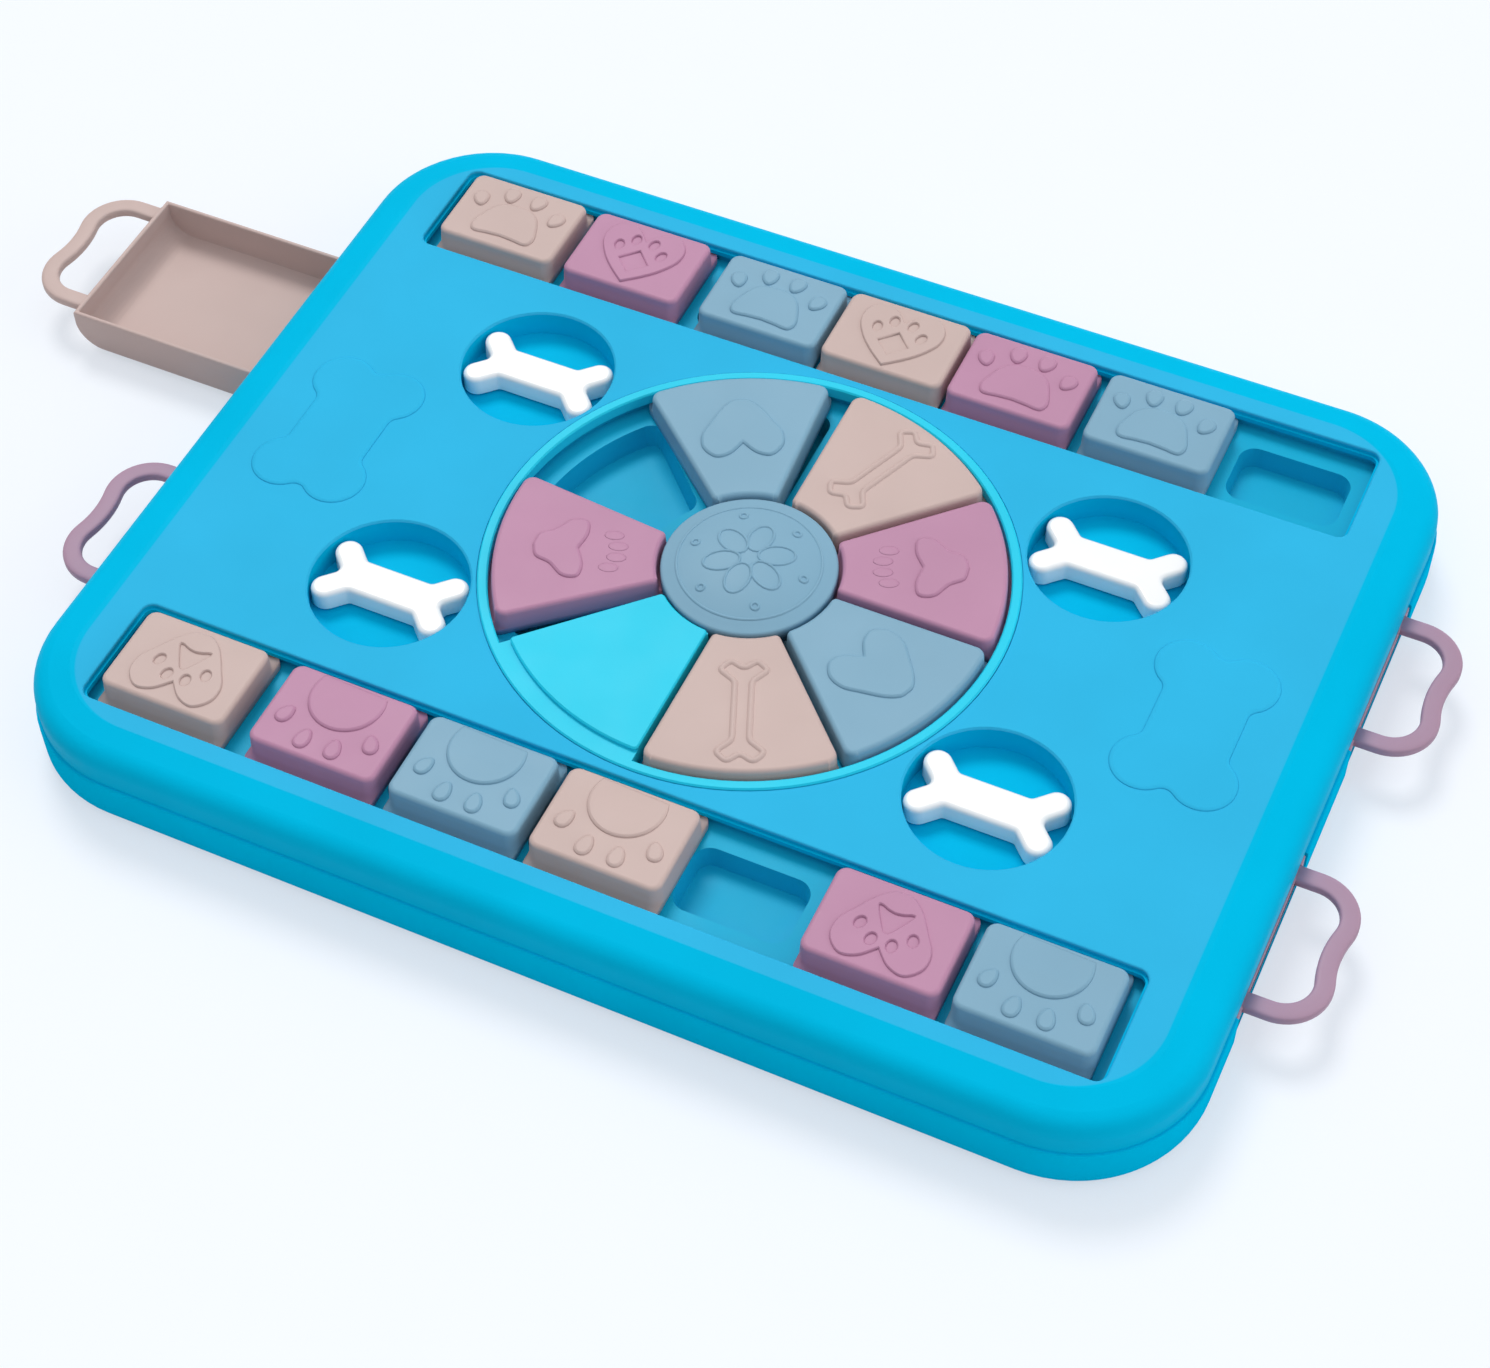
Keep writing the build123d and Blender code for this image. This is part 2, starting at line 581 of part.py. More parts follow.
for number, wedge_angle in enumerate(wedge_angles, start=1):
    wedge_plane = Plane.XY.rotated((0, 0, wedge_angle))
    with BuildPart() as wedge:
        with BuildSketch(wedge_plane.offset(flange_bottom)):
            add(sector_face(wedge_flange_inner, wedge_flange_outer, wedge_gap / 2))
        extrude(amount=flange_thickness)
        with BuildSketch(wedge_plane.offset(flange_bottom)):
            add(sector_face(wedge_inner, wedge_outer, wedge_gap / 2, wedge_heel, wedge_corner))
        extrude(amount=wedge_top - flange_bottom)
        chamfer(wedge.faces().sort_by(Axis.Z)[-1].edges(), length=wedge_bevel)
        # Two hollow cells under the wedge, with a web between them
        with BuildSketch(wedge_plane.offset(flange_bottom)):
            for side in (1, -1):
                Polygon(
                    (cell_inner, side * block_skin / 2),
                    (cell_outer, side * block_skin / 2),
                    (cell_outer, side * (cell_outer * cell_slope - cell_drop)),
                    (cell_inner, side * (cell_inner * cell_slope - cell_drop)),
                    align=None,
                )
        extrude(amount=wedge_top - block_skin - flange_bottom, mode=Mode.SUBTRACT)
    keep(wedge, f"wheel_wedge_{number}")

# ---------------------------------------------------------------- hub cap
hub_edge = deck_height + hub_edge_rise
half_chord = hub_radius - hub_bevel
crown_radius = (half_chord ** 2 + hub_crown ** 2) / (2 * hub_crown)
crown_angle = degrees(asin(half_chord / crown_radius))

with BuildPart() as hub_cap:
    with BuildSketch(Plane.XZ):
        with BuildLine():
            Polyline((0, hub_edge + hub_crown), (0, lip_bottom), (hub_radius, lip_bottom),
                     (hub_radius, hub_edge - hub_bevel), (half_chord, hub_edge))
            CenterArc((0, hub_edge + hub_crown - crown_radius), crown_radius, 90 - crown_angle, crown_angle)
        make_face()
    revolve(axis=Axis.Z)
    with BuildSketch(Plane.XY.offset(lip_bottom)):
        Circle(hub_post_radius - hub_post_skin)
        Circle(hub_boss_radius, mode=Mode.SUBTRACT)
    extrude(amount=hub_edge - hub_post_skin - lip_bottom, mode=Mode.SUBTRACT)
    with BuildSketch(Plane.XY.offset(lip_bottom)):
        Circle(screw_hole)
    extrude(amount=hub_screw_reach + slide_gap, mode=Mode.SUBTRACT)
keep(hub_cap, "hub_cap")

# ---------------------------------------------------------------- bones
bone_names = ("right_back_bone", "left_back_bone", "right_front_bone", "left_front_bone")

for bone_name, bone_point in zip(bone_names, bowl_points):
    with BuildPart() as bone:
        with BuildSketch(Plane((*bone_point, bone_bottom))) as bone_face:
            with GridLocations(2 * bone_knob_x, 2 * bone_knob_y, 2, 2):
                Circle(bone_knob_radius)
            Rectangle(2 * bone_knob_x, bone_shaft_width)
            fillet(bone_face.vertices().filter_by(lambda v: abs(v.X) < bone_knob_x - 1),
                   radius=bone_waist_round)
            fillet(bone_face.vertices().filter_by(lambda v: abs(v.Y) < 0.01), radius=bone_waist_round)
        extrude(amount=bone_thickness)
        fillet(bone.faces().sort_by(Axis.Z)[-1].edges(), radius=bone_round)
        fillet(bone.faces().sort_by(Axis.Z)[0].edges(), radius=bone_round)
    keep(bone, bone_name)

# ---------------------------------------------------------------- drawers
drawer_names = ("right_back_drawer", "left_back_drawer", "right_front_drawer", "left_front_drawer")
drawer_pulls = (0.0, drawer_pulled, 0.0, 0.0)

for drawer_name, (side_x, side_y), pull in zip(drawer_names, quarters, drawer_pulls):
    # Local +X points out of the case, from the drawer's front face
    front_point = (side_x * (drawer_front + pull), side_y * drawer_centre, 0)
    side_plane = Plane(front_point, x_dir=(side_x, 0, 0), z_dir=(0, -side_x, 0))
    handle_plane = Plane(front_point, x_dir=(side_x, 0, 0)).offset(drawer_top - handle_thickness)
    with BuildPart() as handle:
        with BuildSketch(handle_plane):
            add(two_lobed_face(-drawer_wall / 2))
        extrude(amount=handle_thickness)
        with BuildSketch(handle_plane) as handle_hole:
            add(two_lobed_face(handle_land, handle_band))
            fillet(handle_hole.vertices().group_by(Axis.X)[0], radius=handle_hole_round)
        extrude(amount=handle_thickness, mode=Mode.SUBTRACT)
        chamfer(handle.faces().filter_by(Axis.Z).edges(), length=drawer_rim_bevel)
    with BuildPart() as drawer:
        # Side profile with a round lower front and a small round lower back
        with BuildSketch(side_plane) as profile:
            with Locations((-drawer_length / 2, drawer_bottom + drawer_height / 2)):
                Rectangle(drawer_length, drawer_height)
            fillet(profile.vertices().group_by(Axis.Y)[0].sort_by(Axis.X)[-1], radius=drawer_front_round)
            fillet(profile.vertices().group_by(Axis.Y)[0].sort_by(Axis.X)[0], radius=drawer_back_round)
        extrude(amount=drawer_width / 2, both=True)
        with BuildSketch(side_plane) as hollow:
            with Locations((-drawer_length / 2, drawer_bottom + drawer_wall + drawer_height / 2)):
                Rectangle(drawer_length - 2 * drawer_wall, drawer_height)
            fillet(hollow.vertices().group_by(Axis.Y)[0].sort_by(Axis.X)[-1],
                   radius=drawer_front_round - drawer_wall)
            fillet(hollow.vertices().group_by(Axis.Y)[0].sort_by(Axis.X)[0],
                   radius=drawer_back_round - drawer_wall)
        extrude(amount=drawer_width / 2 - drawer_wall, both=True, mode=Mode.SUBTRACT)
        chamfer(drawer.faces().sort_by(Axis.Z)[-1].edges(), length=drawer_rim_bevel)
        add(handle.part)
    keep(drawer, drawer_name)

# ---------------------------------------------------------------- rubber feet
with BuildPart() as rubber_feet:
    with BuildSketch():
        with Locations(*foot_points):
            Circle(foot_radius - slide_gap)
    extrude(amount=foot_drop + foot_recess)
    chamfer(rubber_feet.edges().group_by(Axis.Z)[0], length=foot_bevel)
keep(rubber_feet, "rubber_feet")


# ---------------------------------------------------------------- screws
def screw_group(name, points, head_bottom, shank_top):
    """Pan-head screws that point up, one at each point, kept as one group."""
    with BuildPart() as screws:
        with BuildSketch(Plane.XY.offset(head_bottom)):
            with Locations(*points):
                Circle(screw_head)
        extrude(amount=screw_head_height)
        with BuildSketch(Plane.XY.offset(head_bottom + screw_head_height)):
            with Locations(*points):
                Circle(screw_shank)
        extrude(amount=shank_top - head_bottom - screw_head_height)
    keep(screws, name)


screw_group("case_screws", case_screw_points, foot_drop + screw_recess - screw_head_height,
            case_post_top + case_screw_reach)
screw_group("tray_screws", track_tab_points + wheel_tab_points, plate_bottom - screw_head_height,
            ledge_height + tab_screw_reach)
screw_group("sector_screws", sector_screw_points, plate_bottom - screw_head_height,
            ledge_height + sector_screw_reach)
screw_group("hub_screw", [(0, 0)], plate_bottom - screw_head_height, lip_bottom + hub_screw_reach)
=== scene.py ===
import json
from math import asin, atan2, copysign, cos, degrees, hypot, pi, radians, sin, sqrt

import bmesh
import bpy
from mathutils import Matrix, Vector


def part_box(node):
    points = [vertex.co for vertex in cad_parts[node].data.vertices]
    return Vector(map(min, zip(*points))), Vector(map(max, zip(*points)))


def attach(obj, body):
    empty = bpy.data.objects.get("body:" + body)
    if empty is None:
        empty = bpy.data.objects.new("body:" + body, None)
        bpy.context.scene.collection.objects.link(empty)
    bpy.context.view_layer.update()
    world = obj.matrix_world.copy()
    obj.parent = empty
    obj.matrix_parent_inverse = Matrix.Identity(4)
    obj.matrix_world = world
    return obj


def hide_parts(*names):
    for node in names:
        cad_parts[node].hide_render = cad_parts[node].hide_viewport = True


# Treat puzzle tray for a dog: its looks. The case, the trays and the ring are the frame's
# own solids with soft edges and moulded plastic, and the drawers are copies of them with
# rounded loop handles. The blocks, the wedges, the hub and the bones are drawn afresh with
# rounded edges and raised motifs. Sizes are in millimetres, in the frame's axes.

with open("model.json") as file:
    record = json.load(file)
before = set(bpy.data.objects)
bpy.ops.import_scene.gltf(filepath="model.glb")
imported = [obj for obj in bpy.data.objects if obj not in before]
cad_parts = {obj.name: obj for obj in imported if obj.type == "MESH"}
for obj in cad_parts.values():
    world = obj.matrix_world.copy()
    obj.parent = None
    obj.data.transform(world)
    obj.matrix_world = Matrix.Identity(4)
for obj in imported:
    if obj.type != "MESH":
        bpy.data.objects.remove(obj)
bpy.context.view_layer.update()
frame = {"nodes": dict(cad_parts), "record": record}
nodes = frame["nodes"]
MM = 0.001


# ---------------------------------------------------------------- camera
view_azimuth = 25.547
view_elevation = 51.968
view_roll = -1.022
view_target = (13.934, -34.137, 20.0)
view_distance = 971.2
photo_width = 1490
focal_pixels = 2976.2
sensor_width = 36.0
clip_end = 20.0            # metres


def add_camera():
    azimuth, elevation, roll = (radians(v) for v in (view_azimuth, view_elevation, view_roll))
    back = Vector((sin(azimuth) * cos(elevation), -cos(azimuth) * cos(elevation), sin(elevation)))
    level = Vector((cos(azimuth), sin(azimuth), 0))
    rise = back.cross(level)
    right = level * cos(roll) + rise * sin(roll)
    up = rise * cos(roll) - level * sin(roll)
    data = bpy.data.cameras.new("camera")
    data.sensor_width = sensor_width
    data.lens = focal_pixels * sensor_width / photo_width
    data.clip_end = clip_end
    camera = bpy.data.objects.new("camera", data)
    turn = Matrix((right, up, back)).transposed().to_4x4()
    place = (Vector(view_target) + back * view_distance) * MM
    camera.matrix_world = Matrix.Translation(place) @ turn
    bpy.context.scene.collection.objects.link(camera)
    bpy.context.scene.camera = camera


# ---------------------------------------------------------------- materials
noise_middle = (0.3, 0.7)  # most of a noise texture lies between these
cloud_scale = 22.0         # noise features per metre
uneven_scale = 60.0
spark_scale = 1400.0
fine_detail = 3.0
uneven_gloss = 0.03        # roughness up and down
spark_depth = 0.2


def linear(code):
    """Linear colour from a six-digit screen colour."""
    shares = [int(code[i:i + 2], 16) / 255 for i in (0, 2, 4)]
    channels = (c / 12.92 if c <= 0.04045 else ((c + 0.055) / 1.055) ** 2.4 for c in shares)
    return (*channels, 1.0)


def scaled(colour, share):
    """The same colour, darker or lighter."""
    return tuple(min(1.0, c * share) for c in colour[:3]) + (1.0,)


def noise(tree, place, scale, detail=2.0):
    texture = tree.nodes.new("ShaderNodeTexNoise")
    texture.inputs["Scale"].default_value = scale
    texture.inputs["Detail"].default_value = detail
    tree.links.new(place.outputs["Object"], texture.inputs["Vector"])
    return texture


def ranged(tree, socket, low, high):
    """The socket's middle range spread between two values."""
    spread = tree.nodes.new("ShaderNodeMapRange")
    spread.inputs["From Min"].default_value = noise_middle[0]
    spread.inputs["From Max"].default_value = noise_middle[1]
    spread.inputs["To Min"].default_value = low
    spread.inputs["To Max"].default_value = high
    tree.links.new(socket, spread.inputs["Value"])
    return spread.outputs["Result"]


def mixed(tree, factor, first, second):
    """Colour between two colours or colour sockets."""
    mix = tree.nodes.new("ShaderNodeMix")
    mix.data_type = "RGBA"
    tree.links.new(factor, mix.inputs["Factor"])
    for name, value in (("A", first), ("B", second)):
        socket = [s for s in mix.inputs if s.name == name and s.type == "RGBA"][0]
        if isinstance(value, tuple):
            socket.default_value = value
        else:
            tree.links.new(value, socket)
    return [s for s in mix.outputs if s.type == "RGBA"][0]


def plastic(name, code, rough=0.42, grain=0.03, cloud=0.03, gloss=0.14, sheenless_code=None):
    """Moulded plastic: fine sparked grain, faint flow clouds and slightly uneven gloss."""
    material = bpy.data.materials.new(name)
    material.use_nodes = True
    tree = material.node_tree
    shader = tree.nodes["Principled BSDF"]
    place = tree.nodes.new("ShaderNodeTexCoord")
    colour = linear(code)
    clouds = ranged(tree, noise(tree, place, cloud_scale, fine_detail).outputs["Fac"], 0.0, 1.0)
    base = mixed(tree, clouds, scaled(colour, 1 - cloud), scaled(colour, 1 + cloud))
    # with a second code, the first colour is a painted sheen (the overhead light's reflection) on
    # the flat deck, and the second is the plastic's own colour everywhere else
    if sheenless_code:
        rim = linear(sheenless_code)
        sheenless_base = mixed(tree, clouds, scaled(rim, 1 - cloud), scaled(rim, 1 + cloud))
        base = mixed(tree, outside_painted_sheen(tree, place), base, sheenless_base)
    tree.links.new(base, shader.inputs["Base Color"])
    patches = noise(tree, place, uneven_scale).outputs["Fac"]
    uneven = ranged(tree, patches, rough - uneven_gloss, rough + uneven_gloss)
    tree.links.new(uneven, shader.inputs["Roughness"])
    shader.inputs["Specular IOR Level"].default_value = gloss
    spark = noise(tree, place, spark_scale, fine_detail)
    bump = tree.nodes.new("ShaderNodeBump")
    bump.inputs["Strength"].default_value = grain
    bump.inputs["Distance"].default_value = spark_depth * MM
    tree.links.new(spark.outputs["Fac"], bump.inputs["Height"])
    tree.links.new(bump.outputs["Normal"], shader.inputs["Normal"])
    return material


crease_length = 372.0      # flat deck inside the sloping rim, where the painted sheen lies
crease_width = 283.0
crease_corner = 31.0
crease_blur = 0.5
sunk_depth = 0.9           # what lies deeper below the deck takes the plastic's own colour, without the painted sheen
deck_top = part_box("top_shell")[1][2] / MM


def outside_painted_sheen(tree, place):
    """1 on the sloping rim, the sides and in the bowls, 0 on the flat deck, which carries the
    painted sheen.
    """
    parts = tree.nodes.new("ShaderNodeSeparateXYZ")
    tree.links.new(place.outputs["Object"], parts.inputs["Vector"])
    squares = []
    for axis, size in (("X", crease_length), ("Y", crease_width)):
        away = math_node(tree, "ABSOLUTE", parts.outputs[axis])
        past = math_node(tree, "SUBTRACT", away, (size / 2 - crease_corner) * MM)
        held = math_node(tree, "MAXIMUM", past, 0.0)
        squares.append(math_node(tree, "POWER", held, 2.0))
    reach = math_node(tree, "SQRT", math_node(tree, "ADD", squares[0], squares[1]))
    edge = math_node(tree, "SUBTRACT", reach, (crease_corner - crease_blur / 2) * MM)
    soft = math_node(tree, "DIVIDE", edge, crease_blur * MM)
    soft.node.use_clamp = True
    sunk = math_node(tree, "LESS_THAN", parts.outputs["Z"], (deck_top - sunk_depth) * MM)
    return math_node(tree, "MAXIMUM", soft, sunk)


def math_node(tree, operation, first, second=None):
    """Result of one sum on sockets or numbers."""
    node = tree.nodes.new("ShaderNodeMath")
    node.operation = operation
    for socket, value in zip(node.inputs, (first, second)):
        if isinstance(value, (int, float)):
            socket.default_value = value
        elif value is not None:
            tree.links.new(value, socket)
    return node.outputs[0]


finishes = {
    # deck_cyan: the paler 33B6E4 is a painted sheen of the overhead light on the flat deck; 00B9E4
    # is the plastic's own colour on the rim, the sides and the hollows
    "deck_cyan": plastic("deck_cyan", "33B6E4", gloss=0.01, sheenless_code="00B9E4"),
    "base_cyan": plastic("base_cyan", "00C0EC", gloss=0.0),
    # tray turquoise: partly the plastic's own colour, partly painted shade, set darker to stand
    # for the shade inside the slots and pockets
    "tray_turquoise": plastic("tray_turquoise", "14ACD3", rough=0.35, gloss=0.06),
    "beige": plastic("beige", "C7B0AB"),
    "pink": plastic("pink", "BB89A7"),
    "grey_blue": plastic("grey_blue", "80A9C1"),
    "mauve": plastic("mauve", "AC8DA3"),
    "white": plastic("white", "F4F5F7", rough=0.2, grain=0.01, cloud=0.01, gloss=0.5),
    "foot_rubber": plastic("foot_rubber", "2A2C2E", rough=0.75, grain=0.08),
    "screw_steel": plastic("screw_steel", "B8BCC0", rough=0.3),
}
ring_finish = plastic("ring_turquoise", "24CDEB", rough=0.32, gloss=0.07)
finishes["screw_steel"].node_tree.nodes["Principled BSDF"].inputs["Metallic"].default_value = 1.0


# ---------------------------------------------------------------- the frame's own solids
slot_of = {s["node"]: s["material_slot"] for s in frame["record"]["subparts"]}
solid_edge_round = 0.25
solid_edge_angle = 28      # degrees, what bends less stays smooth


def soften(solid):
    """Small round edges and smooth shading."""
    soft = solid.modifiers.new("soft_edges", "BEVEL")
    soft.limit_method = "ANGLE"
    soft.angle_limit = radians(solid_edge_angle)
    soft.width = solid_edge_round * MM
    soft.segments = 2
    soft.use_clamp_overlap = False
    soft.harden_normals = True


def dress(name, finish=None):
    """Material and soft edges for one of the frame's solids."""
    solid = nodes[name]
    solid.data.materials.clear()
    solid.data.materials.append(finish or finishes[slot_of[name]])
    soften(solid)


for shown in ("top_shell", "base_shell", "back_track_tray", "front_track_tray", "wheel_tray",
              "hub_screw", "case_screws", "tray_screws", "sector_screws", "rubber_feet"):
    dress(shown)
dress("wheel_ring", finish=ring_finish)


# ---------------------------------------------------------------- drawing pieces
def corner(x, y, radius, start, sweep, steps=8):
    """Round stretch of an outline: centre, outward direction and signed radius of each point.
    A hollow stretch has a negative radius."""
    angles = [radians(start + sweep * i / steps) for i in range(steps + 1)]
    return [(x, y, cos(a), sin(a), radius) for a in angles]


def ring(outline, inset, height, widen=0.0):
    """The outline's points, moved in by inset; widen moves both long sides out along Y."""
    points = []
    for x, y, way_x, way_y, radius in outline:
        out = radius - inset
        side = widen if y + way_y * out > 0 else -widen
        points.append(Vector((x + way_x * out, y + way_y * out + side, height)))
    return points


def rounded_top(outline, start_inset, top, radius, steps=6):
    """Rings of a quarter-round edge that ends in the flat top."""
    rings = []
    for i in range(steps + 1):
        a = pi / 2 * i / steps
        inset = start_inset + radius * (1 - cos(a))
        rings.append(ring(outline, inset, top - radius * (1 - sin(a))))
    return rings


class Skin:
    """Vertices and faces gathered for one piece, in millimetres."""

    # shares of a bead's width and height, from one side to the other
    bead_profile = ((-0.5, -0.15), (-0.36, 0.45), (-0.16, 0.92),
                    (0.16, 0.92), (0.36, 0.45), (0.5, -0.15))

    def __init__(self):
        self.points = []
        self.faces = []

    def loft(self, rings):
        """Skin over rings of equal count, with flat ends."""
        count = len(rings[0])
        first = len(self.points)
        for one in rings:
            self.points.extend(one)
        for level in range(len(rings) - 1):
            for i in range(count):
                j = (i + 1) % count
                low = first + level * count
                self.faces.append((low + i, low + j, low + count + j, low + count + i))
        last = first + (len(rings) - 1) * count
        self.faces.append(tuple(reversed(range(first, first + count))))
        self.faces.append(tuple(range(last, last + count)))

    def bead(self, path, width, height, surface):
        """Raised line along a closed flat path, a low round bead that stands on a surface."""
        first = len(self.points)
        count = len(path)
        for i, (x, y) in enumerate(path):
            before, after = path[i - 1], path[(i + 1) % count]
            along = Vector((after[0] - before[0], after[1] - before[1])).normalized()
            for share, rise in self.bead_profile:
                side_x = x - along.y * share * width
                side_y = y + along.x * share * width
                side_z = surface(side_x, side_y) + rise * height
                self.points.append(Vector((side_x, side_y, side_z)))
        wide = len(self.bead_profile)
        for i in range(count):
            here = first + i * wide
            there = first + ((i + 1) % count) * wide
            for k in range(wide - 1):
                self.faces.append((here + k, there + k, there + k + 1, here + k + 1))

    def piece(self, name, finish, body, node=None):
        """One object of this skin that rides on a body and stands for a node of the frame."""
        mesh = bpy.data.meshes.new(name)
        mesh.from_pydata([tuple(p * MM) for p in self.points], [], self.faces)
        mesh.polygons.foreach_set("use_smooth", [True] * len(mesh.polygons))
        mesh.materials.append(finishes[finish])
        made = bpy.data.objects.new(name, mesh)
        bpy.context.scene.collection.objects.link(made)
        shade = made.modifiers.new("even_shading", "WEIGHTED_NORMAL")
        shade.keep_sharp = True
        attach(made, body)
        if node:
            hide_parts(node)


def curve(points, steps=6):
    """Smooth open path through a few points."""
    count = len(points)
    path = []
    for i in range(count - 1):
        ends = [points[min(max(i + k, 0), count - 1)] for k in (-1, 0, 1, 2)]
        for step in range(steps):
            t = step / steps
            weights = (
                (-t + 2 * t ** 2 - t ** 3) / 2,
                (2 - 5 * t ** 2 + 3 * t ** 3) / 2,
                (t + 4 * t ** 2 - 3 * t ** 3) / 2,
                (t ** 3 - t ** 2) / 2,
            )
            path.append(tuple(sum(w * p[axis] for w, p in zip(weights, ends)) for axis in (0, 1)))
    path.append(points[-1])
    return path


def mirrored(half):
    """Closed path from its right half, which starts and ends on the Y axis."""
    return half + [(-x, y) for x, y in reversed(half[1:-1])]


def oval(x, y, half_width, half_height, tilt=0.0, count=20):
    """Closed oval, tilted in degrees."""
    turns = [2 * pi * i / count for i in range(count)]
    return placed([(half_width * cos(a), half_height * sin(a)) for a in turns], tilt, x, y)


def placed(path, angle, x=0.0, y=0.0):
    """The path turned about the origin, then moved."""
    c, s = cos(radians(angle)), sin(radians(angle))
    return [(x + px * c - py * s, y + px * s + py * c) for px, py in path]


# ---------------------------------------------------------------- motifs
# each is a list of raised shapes, drawn upright round the origin
relief_rise = 0.8
relief_edge = 1.0          # width of a relief's rounded edge
fine_edge = 0.5            # the same where the relief holds small hollows


def relief(skin, outlines, height, rise=relief_rise, edge=relief_edge, fade=None):
    """Raised shape with rounded edges; outlines inside the first one are hollows in it."""
    data = bpy.data.curves.new("relief", "CURVE")
    data.dimensions = "2D"
    data.fill_mode = "BOTH"
    data.bevel_depth = edge
    data.bevel_resolution = 1
    data.offset = -edge
    for outline in outlines:
        spline = data.splines.new("POLY")
        spline.points.add(len(outline) - 1)
        for point, (x, y) in zip(spline.points, outline):
            point.co = (x, y, 0, 1)
        spline.use_cyclic_u = True
    drawn = bpy.data.objects.new("relief", data)
    mesh = bpy.data.meshes.new_from_object(drawn)
    first = len(skin.points)
    for vertex in mesh.vertices:
        x, y, z = vertex.co
        share = fade(x, y) if fade else 1.0
        skin.points.append(Vector((x, y, height + z / edge * rise * share)))
    skin.faces.extend(tuple(first + i for i in face.vertices) for face in mesh.polygons)
    bpy.data.objects.remove(drawn)
    bpy.data.curves.remove(data)
    bpy.data.meshes.remove(mesh)


def egg(x, y, half_width, half_height, tilt=0.0, taper=0.22):
    """Oval that is narrower at its lower end, tilted in degrees."""
    points = []
    for across, along in oval(0, 0, half_width, half_height):
        points.append((across * (1 + taper * along / half_height), along))
    return placed(points, tilt, x, y)


def pad_paw():
    """Paw with a rounded wedge of a pad and four toes above it."""
    wedge = [(0, 5.6), (5.0, 5.0), (8.8, 2.0), (11.4, -3.6), (12.6, -8.6), (10.6, -12.0)]
    pad = mirrored(curve(wedge + [(5.0, -11.6), (0, -11.2)]))
    toes = [egg(side * 5.3, 9.6, 3.1, 4.0, side * -8) for side in (1, -1)]
    toes += [egg(side * 15.2, 4.2, 3.0, 3.9, side * -20) for side in (1, -1)]
    return [[pad]] + [[toe] for toe in toes]


def round_paw():
    """Paw with a large round pad that runs out to the block's edge, and four toes above it."""
    radius, middle = 12.8, -9.4
    turns = [radians(a) for a in range(-28, 209, 8)]
    pad = [(radius * cos(a), middle + radius * sin(a)) for a in turns]
    toes = [egg(side * 5.4, 9.8, 2.8, 4.1, side * -6) for side in (1, -1)]
    toes += [egg(side * 15.4, 3.4, 2.7, 3.9, side * -22) for side in (1, -1)]
    return [[pad]] + [[toe] for toe in toes]


def heart_outline(width, height, point_sharp=True):
    """Heart round the origin with its point down."""
    w, h = width / 2, height / 2
    foot = [(0.42 * w, -0.62 * h), (0, -h)]
    if not point_sharp:
        foot = [(0.46 * w, -0.72 * h), (0.2 * w, -0.97 * h), (0, -h)]
    lobe = [(0, 0.55 * h), (0.3 * w, 0.9 * h), (0.66 * w, h), (0.95 * w, 0.68 * h)]
    return mirrored(curve(lobe + [(0.97 * w, 0.22 * h), (0.74 * w, -0.24 * h)] + foot))


def heart_paw_square():
    """Heart with a small sunk paw in it whose pad is a square on its corner."""
    pad = [(0, 2.4), (5.6, -3.2), (0, -8.8), (-5.6, -3.2)]
    toes = [oval(side * 3.5, 7.0, 1.6, 2.4, side * -8, 16) for side in (1, -1)]
    toes += [oval(side * 8.3, 2.6, 1.6, 2.4, side * -14, 16) for side in (1, -1)]
    return [[heart_outline(31.0, 28.5), pad] + toes]


def heart_paw_round():
    """Heart with a small sunk paw in it whose pad comes to a round tip below the toes."""
    tip = [(0, 1.6), (1.2, 1.0), (5.4, -6.2), (5.0, -7.2), (2.4, -6.2), (0, -5.8)]
    pad = mirrored(curve(tip, steps=4))
    toes = [oval(side * 3.4, 5.4, 1.6, 2.2, side * -10, 16) for side in (1, -1)]
    toes += [oval(side * 8.6, 1.2, 1.6, 2.2, side * -16, 16) for side in (1, -1)]
    return [[heart_outline(32.0, 27.5, point_sharp=False), pad] + toes]


def softened(points, cut, steps=4):
    """Closed path along a polygon whose corners are cut round."""
    path = []
    for i, (x, y) in enumerate(points):
        ends = []
        for to_x, to_y in (points[i - 1], points[(i + 1) % len(points)]):
            share = cut / hypot(to_x - x, to_y - y)
            ends.append((x + (to_x - x) * share, y + (to_y - y) * share))
        for step in range(steps + 1):
            t = step / steps
            path.append(tuple((1 - t) ** 2 * ends[0][axis] + 2 * t * (1 - t) * (x, y)[axis]
                              + t ** 2 * ends[1][axis] for axis in (0, 1)))
    return path


fork_corner_cut = 1.7


def forked_bone():
    """Middle line of a raised line round a bone along X, with square-tipped forks."""
    quarter = [(11.8, 2.7), (16.4, 7.9), (20.2, 4.3), (16.9, 0.0)]
    half = [(-x, y) for x, y in reversed(quarter)] + quarter
    return softened(half + [(x, -y) for x, y in reversed(half[1:-1])], fork_corner_cut)


def lobed_bone(lobe_x, lobe_y, lobe_round, half_shaft, inner_round):
    """Closed path round a bone along Y, two round lobes at each end and round hollows between."""
    reach = lobe_round + inner_round
    notch_y = lobe_y + sqrt(reach ** 2 - lobe_x ** 2)
    neck_x = half_shaft + inner_round
    neck_y = lobe_y - sqrt(reach ** 2 - (neck_x - lobe_x) ** 2)
    notch_turn = degrees(atan2(notch_y - lobe_y, -lobe_x))
    neck_turn = degrees(atan2(neck_y - lobe_y, neck_x - lobe_x))
    quarter = corner(0, notch_y, -inner_round, 90, notch_turn - 90, 4)
    quarter += corner(lobe_x, lobe_y, lobe_round, notch_turn, neck_turn - notch_turn, 20)
    quarter += corner(neck_x, neck_y, -inner_round, neck_turn, -neck_turn, 5)
    path = [(x + way_x * radius, y + way_y * radius) for x, y, way_x, way_y, radius in quarter]
    right = path + [(x, -y) for x, y in reversed(path)]
    return right + [(-x, y) for x, y in reversed(right[1:-1])]


